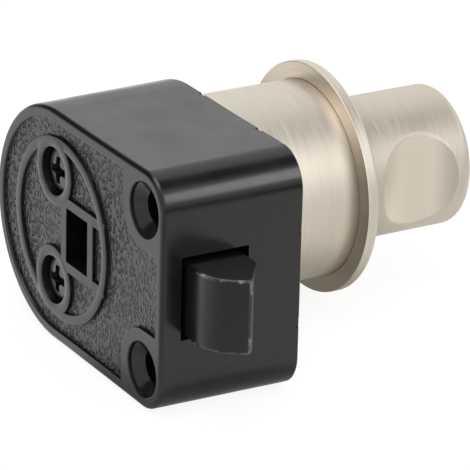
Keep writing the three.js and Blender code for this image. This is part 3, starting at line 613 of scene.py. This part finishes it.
def coil_mesh(axis, centre, ends, radius, wire, turns):
    """A coil spring along an axis, between two places on it."""
    sides, steps = 12, 36
    along, centre = Vector(axis), Vector(centre)
    first = Vector((0, 0, 1))
    second = along.cross(first)
    low, span = ends[0] + wire / 2, ends[1] - ends[0] - wire
    path = []
    for i in range(turns * steps + 1):
        a = 2 * math.pi * i / steps
        path.append(centre + along * (low + span * i / (turns * steps))
                    + (first * math.cos(a) + second * math.sin(a)) * radius)
    levels = []
    for i, p in enumerate(path):
        ahead = (path[min(i + 1, len(path) - 1)] - path[max(i - 1, 0)]).normalized()
        out = p - centre
        out = (out - along * out.dot(along)).normalized()
        side = ahead.cross(out).normalized()
        levels.append([
            tuple(p + (out * math.cos(b) + side * math.sin(b)) * wire / 2)
            for b in (2 * math.pi * k / sides for k in range(sides))])
    return rings(levels)


# Materials

def material(name):
    mat = bpy.data.materials.new(name)
    mat.use_nodes = True
    nodes = mat.node_tree.nodes
    return mat, nodes, mat.node_tree.links, nodes["Principled BSDF"]


def node(nodes, kind, **values):
    made = nodes.new(kind)
    for key, value in values.items():
        if key in made.inputs:
            made.inputs[key].default_value = value
        else:
            setattr(made, key, value)
    return made


def reckoned(nodes, links, kind, operation, *values):
    """A number or vector reckoned from sockets and plain values."""
    made = node(nodes, kind, operation=operation)
    for i, value in enumerate(values):
        if isinstance(value, (float, tuple)):
            made.inputs[i].default_value = value
        else:
            links.new(value, made.inputs[i])
    return made


def number(nodes, links, operation, *values):
    return reckoned(nodes, links, "ShaderNodeMath", operation, *values).outputs["Value"]


def vector(nodes, links, operation, *values):
    return reckoned(nodes, links, "ShaderNodeVectorMath", operation, *values).outputs["Vector"]


def measure(nodes, links, operation, *values):
    """A length, a distance or a dot product of vectors."""
    return reckoned(nodes, links, "ShaderNodeVectorMath", operation, *values).outputs["Value"]


def parted(nodes, links, place):
    made = node(nodes, "ShaderNodeSeparateXYZ")
    links.new(place, made.inputs["Vector"])
    return made.outputs


def noise(nodes, links, place, **values):
    made = node(nodes, "ShaderNodeTexNoise", **values)
    links.new(place, made.inputs["Vector"])
    return made.outputs


def blend(nodes, links, value, low, high):
    """A smooth share from 0 at low to 1 at high."""
    made = node(nodes, "ShaderNodeMapRange", interpolation_type="SMOOTHSTEP")
    made.inputs["From Min"].default_value = low
    made.inputs["From Max"].default_value = high
    links.new(value, made.inputs["Value"])
    return made.outputs["Result"]


def mixed(nodes, links, share, first, second):
    """Two levels or colours mixed by a share."""
    made = node(nodes, "ShaderNodeMixRGB")
    links.new(share, made.inputs["Fac"])
    for key, value in (("Color1", first), ("Color2", second)):
        if isinstance(value, float):
            made.inputs[key].default_value = (value, value, value, 1)
        elif isinstance(value, tuple):
            made.inputs[key].default_value = (*value, 1)
        else:
            links.new(value, made.inputs[key])
    return made.outputs["Color"]


def fading(nodes, links, along, tone, color, fade):
    """The tone goes over to a lighter colour, painted light, or to a darker one, painted shade, between
    two places along an axis.
    """
    low, high, level = fade
    other = tuple(c * level for c in color)
    return mixed(nodes, links, blend(nodes, links, along, low, high), tone, other)


def gloss(nodes, links, shader, value, least, most, first=0.0, last=1.0):
    """The roughness goes from least to most as the value goes from first to last."""
    made = node(nodes, "ShaderNodeMapRange")
    made.inputs["From Min"].default_value = first
    made.inputs["From Max"].default_value = last
    made.inputs["To Min"].default_value = least
    made.inputs["To Max"].default_value = most
    links.new(value, made.inputs["Value"])
    links.new(made.outputs["Result"], shader.inputs["Roughness"])


def bumps(nodes, links, shader, height, strength, distance):
    made = node(nodes, "ShaderNodeBump", Strength=strength, Distance=distance)
    links.new(height, made.inputs["Height"])
    links.new(made.outputs["Normal"], shader.inputs["Normal"])


def plastic(name, color, rough, grain, strength):
    """Moulded plastic: a fine uneven gloss, faint sink marks and a faint moulding grain."""
    mat, nodes, links, shader = material(name)
    shader.inputs["Base Color"].default_value = (*color, 1)
    shader.inputs["IOR"].default_value = 1.5
    place = node(nodes, "ShaderNodeTexCoord").outputs["Object"]
    cloud = noise(nodes, links, place, Scale=220.0, Detail=5.0)["Fac"]
    gloss(nodes, links, shader, cloud, rough - 0.04, rough + 0.07, 0.3, 0.7)
    fine = noise(nodes, links, place, Scale=grain, Detail=3.0)["Fac"]
    waves = noise(nodes, links, place, Scale=120.0, Detail=1.0)["Fac"]
    height = number(nodes, links, "MULTIPLY_ADD", waves, 0.5, fine)
    bumps(nodes, links, shader, height, strength, 0.00003)
    return mat


def leather(name, color, rough):
    """The recessed fields' moulded leather grain: small close pits of uneven shape."""
    mat, nodes, links, shader = material(name)
    shader.inputs["Base Color"].default_value = (*color, 1)
    shader.inputs["IOR"].default_value = 1.5
    shader.inputs["Roughness"].default_value = rough
    place = node(nodes, "ShaderNodeTexCoord").outputs["Object"]
    warp = noise(nodes, links, place, Scale=800.0, Detail=2.0)["Color"]
    shifted = vector(nodes, links, "MULTIPLY_ADD", warp, (0.0004, 0.0004, 0.0004), place)
    tall = vector(nodes, links, "MULTIPLY", shifted, (2300.0, 2300.0, 1500.0))
    pits = node(nodes, "ShaderNodeTexVoronoi", feature="F1", Scale=1.0)
    links.new(tall, pits.inputs["Vector"])
    between = blend(nodes, links, pits.outputs["Distance"], 0.15, 0.6)
    lumps = noise(nodes, links, place, Scale=2000.0, Detail=2.0)["Fac"]
    height = number(nodes, links, "MULTIPLY_ADD", lumps, 0.6, between)
    bumps(nodes, links, shader, height, 1.0, 0.00012)
    return mat


def brushed(name, color, rough, fade=None, rises=()):
    """Satin metal with streaks round the knob's axis; its tone may fade along Y and rise along Z, as
    painted light and shade.
    """
    mat, nodes, links, shader = material(name)
    shader.inputs["Metallic"].default_value = 1.0
    x, y, z = parted(nodes, links, node(nodes, "ShaderNodeTexCoord").outputs["Object"])
    flat = node(nodes, "ShaderNodeCombineXYZ")
    links.new(number(nodes, links, "SUBTRACT", x, AXIS_X * MM), flat.inputs["X"])
    links.new(z, flat.inputs["Z"])
    radius = measure(nodes, links, "LENGTH", flat.outputs["Vector"])
    unit = vector(nodes, links, "NORMALIZE", flat.outputs["Vector"])
    turn = node(nodes, "ShaderNodeVectorMath", operation="SCALE")
    turn.inputs["Scale"].default_value = 2.2
    links.new(unit, turn.inputs[0])
    axis = node(nodes, "ShaderNodeCombineXYZ")
    reach = number(nodes, links, "ADD", y, radius)
    links.new(number(nodes, links, "MULTIPLY", reach, 2600.0), axis.inputs["Y"])
    wound = vector(nodes, links, "ADD", turn.outputs["Vector"], axis.outputs["Vector"])
    streaks = noise(nodes, links, wound, Scale=1.0, Detail=4.0)["Fac"]
    gloss(nodes, links, shader, streaks, rough - 0.03, rough + 0.04, 0.3, 0.7)
    dark, light = (tuple(c * level for c in color) for level in (0.87, 1.13))
    tone = mixed(nodes, links, streaks, dark, light)
    if fade:
        tone = fading(nodes, links, y, tone, color, fade)
    for rise in rises:
        tone = fading(nodes, links, z, tone, color, rise)
    links.new(tone, shader.inputs["Base Color"])
    bumps(nodes, links, shader, streaks, 0.25, 0.00001)
    shader.inputs["Anisotropic"].default_value = 0.6
    tangent = node(nodes, "ShaderNodeTangent", direction_type="RADIAL", axis="Y")
    links.new(tangent.outputs["Tangent"], shader.inputs["Tangent"])
    return mat


def scuffs_and_highlight(name, color, scuff_and_glint_color, rough):
    """The bolt's plastic along its edges: pale broken scuffs, and a painted highlight in the same pale
    colour.
    """
    mat, nodes, links, shader = material(name)
    shader.inputs["IOR"].default_value = 1.5
    place = node(nodes, "ShaderNodeTexCoord").outputs["Object"]
    wide = vector(nodes, links, "MULTIPLY", place, (600.0, 600.0, 450.0))
    scuff_glint_noise = noise(nodes, links, wide, Scale=1.0, Detail=6.0, Roughness=0.65)["Fac"]
    share = blend(nodes, links, scuff_glint_noise, 0.48, 0.66)
    links.new(mixed(nodes, links, share, color, scuff_and_glint_color), shader.inputs["Base Color"])
    gloss(nodes, links, shader, share, rough, rough + 0.25)
    bumps(nodes, links, shader, scuff_glint_noise, 0.6, 0.00004)
    return mat


def steel(name, color, rough, metal=1.0, fade=None):
    """Plain metal with a cloudy gloss; its tone may fade along Y, as painted light and shade."""
    mat, nodes, links, shader = material(name)
    shader.inputs["Metallic"].default_value = metal
    shader.inputs["Base Color"].default_value = (*color, 1)
    place = node(nodes, "ShaderNodeTexCoord").outputs["Object"]
    if fade:
        along = parted(nodes, links, place)["Y"]
        links.new(fading(nodes, links, along, color, color, fade), shader.inputs["Base Color"])
    cloud = noise(nodes, links, place, Scale=700.0, Detail=5.0)["Fac"]
    gloss(nodes, links, shader, cloud, rough - 0.08, rough + 0.12)
    bumps(nodes, links, shader, cloud, 0.3, 0.00002)
    return mat


def dull(mat, level):
    """Less mirror in a dark place that catches little light."""
    mat.node_tree.nodes["Principled BSDF"].inputs["Specular IOR Level"].default_value = level
    return mat


BLACK = (0.005, 0.005, 0.005)
CASE = plastic("case_gloss", BLACK, 0.2, 2500.0, 0.15)
COVER = plastic("cover_gloss", BLACK, 0.3, 2500.0, 0.2)
BOLT = plastic("bolt_gloss", (0.0022, 0.0022, 0.0018), 0.28, 2200.0, 0.3)
# The bolt's edge rounds: real scuffs, and a painted highlight along the edges
BOLT_SCUFFS_AND_HIGHLIGHT = scuffs_and_highlight("bolt_edge_scuffs_and_highlight", (0.004, 0.004, 0.0036), (0.19, 0.185, 0.178), 0.3)
# The screw wells' walls: darker than the case and with little mirror, painted shade.
WELL = dull(plastic("well_shade", (0.003, 0.003, 0.003), 0.3, 2500.0, 0.2), 0.2)
GRAIN = leather("field_grain", (0.0055, 0.0055, 0.0055), 0.27)
# One satin nickel in copies of different tones per piece, set to how bright each looks: painted light
# and shade. The knob's copy darkens towards the rosette: painted shade.
NICKEL = brushed("satin_nickel", (0.655, 0.6, 0.512), 0.42, (-0.026, -0.0195, 0.82))
# The sleeve's copy grows lighter towards the flange: painted light.
NICKEL_SLEEVE = brushed("sleeve_nickel", (0.685, 0.627, 0.535), 0.42, (-0.0135, -0.0168, 1.2))
# The rosette's copy is lighter: painted light.
NICKEL_ROSETTE = brushed("rosette_nickel", (0.71, 0.65, 0.56), 0.4)
# The rosette's back face: a darker copy of the nickel, painted shade, growing lighter towards its top
# and bottom: painted light.
NICKEL_BACK_SHADE = brushed("rosette_back_painted_shade", (0.335, 0.295, 0.25), 0.42,
                      rises=((0.003, 0.014, 2.1), (-0.001, -0.008, 1.5)))
# The finger scoops: a lighter copy of the nickel, painted light, darker towards the knob's front:
# painted shade.
NICKEL_SCOOP = steel("scoop_nickel", (0.8, 0.73, 0.63), 0.42, fade=(-0.0315, -0.0345, 0.72))
PLAIN_STEEL = steel("zinc_steel", (0.55, 0.55, 0.56), 0.32)
TONGUE = steel("dull_steel", (0.3, 0.27, 0.23), 0.42)
SCREW_BLACK = steel("black_screw", (0.1, 0.1, 0.1), 0.3, 0.85)
# The screws' cross recesses: near black with little mirror, painted shade.
RECESS = dull(steel("screw_recess_painted_shade", (0.003, 0.003, 0.003), 0.6, 0.0), 0.1)
PLUNGER = plastic("plunger_black", (0.02, 0.02, 0.02), 0.4, 2000.0, 0.3)
NYLON = plastic("nylon", (0.74, 0.72, 0.66), 0.5, 1500.0, 0.2)
RUBBER = plastic("rubber", (0.018, 0.018, 0.018), 0.75, 1200.0, 0.6)


# Which faces get a second material

def in_field(x, y, z, normal):
    return abs(y - FIELD) < 0.03 and normal.y > 0.9


def in_well(x, y, z, normal):
    return 16.7 < y < 18.9 and math.hypot(x, abs(z) - SCREW_Z) < 3.1 and abs(normal.y) < 0.5


def rubbed_and_highlit(x, y, z, normal):
    """The bolt's rounded edges beside the ramp, and its nose, where scuffs and a painted highlight go.
    """
    beside_ramp = normal.y > 0.05 and abs(z) > BOLT_HALF - BOLT_ROUND and 0.15 < abs(normal.z) < 0.97
    on_nose = x < BOLT_NOSE + 0.4 and y < RAMP[0][1] - 0.1
    return x < BOLT_NOSE + 5.5 and (beside_ramp or on_nose)


def on_back(x, y, z, normal):
    return normal.y > 0.9 and abs(y - ROSETTE_BACK) < 0.02


def in_scoop(x, y, z, normal):
    deep = math.hypot(x, z) < KNOB_RADIUS - 0.12 and abs(x) > 4
    return deep and KNOB_FRONT + 1.3 < y < -19.6


def in_recess(x, y, z, normal):
    return math.hypot(x, abs(z) - SCREW_Z) < 2.1 and 17.0 < y < 18.3 and normal.y < 0.98


# Pieces

case = add("case_shell", case_mesh(), "housing", "case_body", CASE, smooth=28)
paint(case, GRAIN, in_field)
paint(case, WELL, in_well)
add("case_plate", cover_mesh(), "housing", "case_cover", COVER)
bolt = add("ramp_bolt", bolt_mesh(), "bolt", "latch_bolt", BOLT)
# Scuffs and a painted highlight on the bolt's edges
paint(bolt, BOLT_SCUFFS_AND_HIGHLIGHT, rubbed_and_highlit)
add("door_sleeve", sleeve_mesh(), "housing", "sleeve", NICKEL_SLEEVE)
rosette = add("door_rosette", rosette_mesh(), "housing", "rosette", NICKEL_ROSETTE)
paint(rosette, NICKEL_BACK_SHADE, on_back)
knob = add("push_knob", knob_mesh(), "knob", "knob_cap", NICKEL)
paint(knob, NICKEL_SCOOP, in_scoop)
for name, z, cad in (
    ("screw_top", SCREW_Z, "sleeve_screw_upper"),
    ("screw_low", -SCREW_Z, "sleeve_screw_lower"),
):
    screw = add(name, screw_mesh(z), "housing", cad, SCREW_BLACK)
    paint(screw, RECESS, in_recess)

coil = coil_mesh((0, 1, 0), (0, 0, 0), KNOB_SPRING, 7.2, 0.8, 6)
spring = add("return_coil", coil, "housing", "knob_spring", PLAIN_STEEL)
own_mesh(spring)
coil = coil_mesh((1, 0, 0), (0, BOLT_SPRING_Y, 0), BOLT_SPRING, 2.0, 0.55, 9)
spring = add("bolt_coil", coil, "housing", "bolt_spring", PLAIN_STEEL)
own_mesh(spring)

for name, mat in (
    ("bolt_guide_pin", PLAIN_STEEL), ("glide_ring", NYLON), ("knob_plunger", PLUNGER),
    ("knob_screw", PLAIN_STEEL), ("lock_tongue", TONGUE), ("tongue_pin", PLAIN_STEEL),
    ("spring_washer", PLAIN_STEEL), ("stop_ring", RUBBER), ("cam_follower", PLAIN_STEEL),
    ("follower_leaf", PLAIN_STEEL),
):
    for place in frame["nodes"][name].material_slots:
        place.material = mat


# Floor, light and camera

FLOOR_HALF = 3
FLOOR_WHITE = 1.06
GLOW_SHARE = 0.85
SKY_STRENGTH = 2.0
LEFT = (-0.862, -0.507, 0.0)
RIGHT = (0.86, 0.51, 0.0)
BEFORE = (-0.6, 0.8, 0.0)
# Round painted shadows on the floor, seen only in reflections: the middle, the radii between which each
# fades out, its colour
FLOOR_SHADOWS = (
    ((0.012, -0.026, 0.0), 0.01, 0.034, (0.8, 0.79, 0.75)),
    ((-0.018, -0.046, 0.0), 0.01, 0.03, (0.65, 0.645, 0.62)),
    ((0.02, -0.014, 0.0), 0.008, 0.022, (0.38, 0.37, 0.335)),
    ((0.004, 0.008, 0.0), 0.012, 0.02, (0.4, 0.4, 0.39)),
)


def towards(nodes, links, place, direction, low, high):
    """A smooth share from 0 to 1 between two distances along a direction."""
    return blend(nodes, links, measure(nodes, links, "DOT_PRODUCT", place, direction), low, high)


def floor():
    """A pale floor, with darker and lighter zones that only reflections show; the round dark zones are
    painted shadows under the part.
    """
    mesh = bpy.data.meshes.new("floor")
    rim = corners(-FLOOR_HALF, FLOOR_HALF, -FLOOR_HALF, FLOOR_HALF)
    mesh.from_pydata([(x, y, cad_low[2]) for x, y in rim], [], [(0, 1, 2, 3)])
    plane = placed("floor", mesh)
    mat, nodes, links, shader = material("pale_floor")
    shader.inputs["Base Color"].default_value = (0.86, 0.86, 0.86, 1)
    shader.inputs["Roughness"].default_value = 0.8
    shader.inputs["Specular IOR Level"].default_value = 0.1
    place = node(nodes, "ShaderNodeTexCoord").outputs["Object"]
    level = mixed(nodes, links, towards(nodes, links, place, BEFORE, 0.02, 0.055),
                  (0.96, 0.945, 0.905), (0.61, 0.605, 0.58))
    level = mixed(nodes, links, towards(nodes, links, place, RIGHT, 0.01, 0.04),
                  level, (1.26, 1.25, 1.2))
    level = mixed(nodes, links, towards(nodes, links, place, LEFT, 0.12, 0.24), level, 0.07)
    level = mixed(nodes, links, towards(nodes, links, place, RIGHT, 0.09, 0.16), level, 0.95)
    flat = vector(nodes, links, "MULTIPLY", place, (1.0, 1.0, 0.0))
    for middle, inner, outer, shade in FLOOR_SHADOWS:
        away = measure(nodes, links, "DISTANCE", flat, middle)
        level = mixed(nodes, links, blend(nodes, links, away, inner, outer), shade, level)
    rays = node(nodes, "ShaderNodeLightPath")
    level = mixed(nodes, links, rays.outputs["Is Camera Ray"], level, FLOOR_WHITE)
    glow = node(nodes, "ShaderNodeEmission", Strength=1.0)
    links.new(level, glow.inputs["Color"])
    seen = number(nodes, links, "MAXIMUM", rays.outputs["Is Camera Ray"], rays.outputs["Is Glossy Ray"])
    mix = node(nodes, "ShaderNodeMixShader")
    links.new(number(nodes, links, "MULTIPLY", seen, GLOW_SHARE), mix.inputs["Fac"])
    links.new(shader.outputs["BSDF"], mix.inputs[1])
    links.new(glow.outputs["Emission"], mix.inputs[2])
    links.new(mix.outputs["Shader"], nodes["Material Output"].inputs["Surface"])
    mesh.materials.append(mat)


def heights(nodes, links, up, bottom, top, between):
    """Levels of light by height: at the bottom, at the top, and at the heights between."""
    made = node(nodes, "ShaderNodeValToRGB")
    elements = made.color_ramp.elements
    elements[0].color = (bottom, bottom, bottom, 1)
    elements[1].color = (top, top, top, 1)
    for at, level in between:
        elements.new(at).color = (level, level, level, 1)
    links.new(up, made.inputs["Fac"])
    return made.outputs["Color"]


def world():
    """A pale studio, brightest partway up and to the left, with a few dimmer and brighter parts."""
    studio = bpy.data.worlds.new("studio")
    bpy.context.scene.world = studio
    studio.use_nodes = True
    nodes, links = studio.node_tree.nodes, studio.node_tree.links
    way = node(nodes, "ShaderNodeTexCoord").outputs["Generated"]
    up = parted(nodes, links, way)["Z"]
    plain = heights(nodes, links, up, 0.28, 0.42, (
        (0.2, 0.43), (0.37, 0.63), (0.5, 0.46), (0.72, 0.51), (0.85, 0.53)))
    left = heights(nodes, links, up, 0.14, 0.42, (
        (0.09, 0.38), (0.25, 0.52), (0.4, 0.66), (0.58, 0.74), (0.7, 0.6), (0.8, 0.4)))
    light = mixed(nodes, links, towards(nodes, links, way, LEFT, 0.38, 0.72), plain, left)
    # A dim patch over the door's side, a dimmer camera side, a dark gap behind, a bright pane above
    for direction, low, high, level in (
        ((-0.17, -0.47, 0.866), 0.93, 0.995, 0.05),
        ((-0.39, 0.87, 0.3), 0.5, 0.95, 0.4),
        ((0.812, 0.46, 0.358), 0.72, 0.92, 0.05),
        ((-0.1, 0.43, 0.9), 0.965, 0.99, 1.25),
    ):
        light = mixed(nodes, links, towards(nodes, links, way, direction, low, high), light, level)
    rays = node(nodes, "ShaderNodeLightPath")
    back = nodes["Background"]
    seen = mixed(nodes, links, rays.outputs["Is Camera Ray"], light, 1 / SKY_STRENGTH)
    links.new(seen, back.inputs["Color"])
    back.inputs["Strength"].default_value = SKY_STRENGTH


def lamp(name, place, target, power, wide, high):
    data = bpy.data.lights.new(name, "AREA")
    data.shape = "RECTANGLE"
    data.size = wide
    data.size_y = high
    data.energy = power
    obj = placed(name, data)
    obj.location = place
    obj.rotation_mode = "QUATERNION"
    obj.rotation_quaternion = (Vector(target) - Vector(place)).to_track_quat("-Z", "Y")


# The camera: its turns in degrees, how far to the right, down and ahead it sees the knob's axis at
# y = 0, and its lens
YAW, PITCH, ROLL = 30.77, 22.244, 1.447
SEEN_RIGHT, SEEN_DOWN, SEEN_AHEAD = -5.974, -4.424, 463.112
LENS_PIXELS, IMAGE_PIXELS, SENSOR = 3690.68, 470, 36


def camera():
    yaw, pitch, roll = math.radians(YAW), math.radians(PITCH), math.radians(ROLL)
    aim = Vector((math.cos(yaw) * math.cos(pitch), -math.sin(yaw) * math.cos(pitch), -math.sin(pitch)))
    right = aim.cross(Vector((0, 0, 1))).normalized()
    up = right.cross(aim)
    level, upright = right, up
    right = math.cos(roll) * level + math.sin(roll) * upright
    up = math.cos(roll) * upright - math.sin(roll) * level
    eye = -(right * SEEN_RIGHT - up * SEEN_DOWN + aim * SEEN_AHEAD)
    data = bpy.data.cameras.new("view")
    data.sensor_width = SENSOR
    data.lens = LENS_PIXELS / IMAGE_PIXELS * SENSOR
    data.clip_start = 0.01
    obj = placed("view", data)
    obj.rotation_mode = "QUATERNION"
    obj.rotation_quaternion = Matrix((right, up, -aim)).transposed().to_quaternion()
    obj.location = (eye + Vector((AXIS_X, 0, 0))) * MM
    bpy.context.scene.camera = obj


floor()
world()
camera()
lamp("key", (0.0, 0.1, 0.9), (0.018, -0.005, 0), 2.5, 0.6, 0.6)
lamp("strip", (-0.053, -0.0247, 0.0475), (-0.004, 0.0095, 0.0132), 0.01, 0.034, 0.03)
bpy.context.scene.view_settings.view_transform = "Standard"
